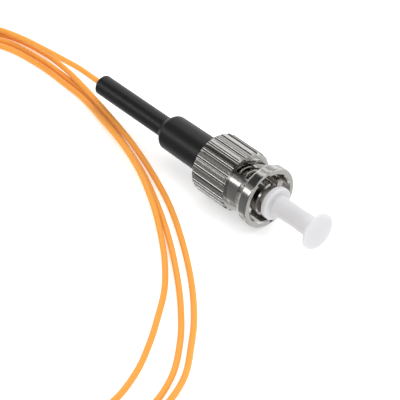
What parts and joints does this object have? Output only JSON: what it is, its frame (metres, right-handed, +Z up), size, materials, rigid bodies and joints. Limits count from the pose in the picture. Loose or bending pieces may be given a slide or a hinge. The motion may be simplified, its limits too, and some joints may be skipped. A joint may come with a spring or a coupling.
{
  "type": "bayonet fibre connector pigtail",
  "caption": "Metal bayonet-locking fibre optic connector with a ribbed coupling nut, black strain-relief boot, dust cap and a coiled tight-buffered pigtail.",
  "frame": {"origin": "on the surface that the connector lies on, under the middle of its length from the boot's end to the cap's face, without the pigtail", "axes": "+X along the connector's axis, from the boot to the ferrule's tip; +Z up; +Y to the left seen from the boot"},
  "size_m": [0.1002, 0.0759, 0.0096],
  "materials": {
    "nickel": "bright nickel plate",
    "body_nickel": "bright nickel plate",
    "ceramic": "polished zirconia",
    "glass": "bare glass fibre",
    "buffer": "smooth satin orange",
    "spring_steel": "drawn wire",
    "steel": "stamped",
    "boot_rubber": "satin black moulded",
    "cap_plastic": "milky translucent soft plastic"
  },
  "bodies": {
    "root": {"connector_body": "body_nickel", "ferrule": "ceramic", "glass_fibre": "glass", "buffered_fibre": "buffer", "spring": "spring_steel", "retaining_clip": "steel", "boot": "boot_rubber", "pigtail_lead": "buffer", "pigtail_coil": "buffer"},
    "washer": {"thrust_washer": "steel"},
    "nut": {"coupling_nut": "nickel"},
    "cap": {"dust_cap": "cap_plastic"}
  },
  "joints": [
    {"name": "nut_slide", "type": "slide", "parent": "root", "child": "washer", "axis": [1, 0, 0], "range_m": [0, 0.0014], "stiffness_N_per_m": 1000, "springref_m": -0.005, "deforming": ["spring"]},
    {"name": "nut_turn", "type": "hinge", "parent": "washer", "child": "nut", "pos_m": [0.00879, 0, 0.0048], "axis": [1, 0, 0], "continuous": true},
    {"name": "cap_pull", "type": "slide", "parent": "root", "child": "cap", "axis": [1, 0, 0], "range_m": [0, 0.02]}
  ]
}
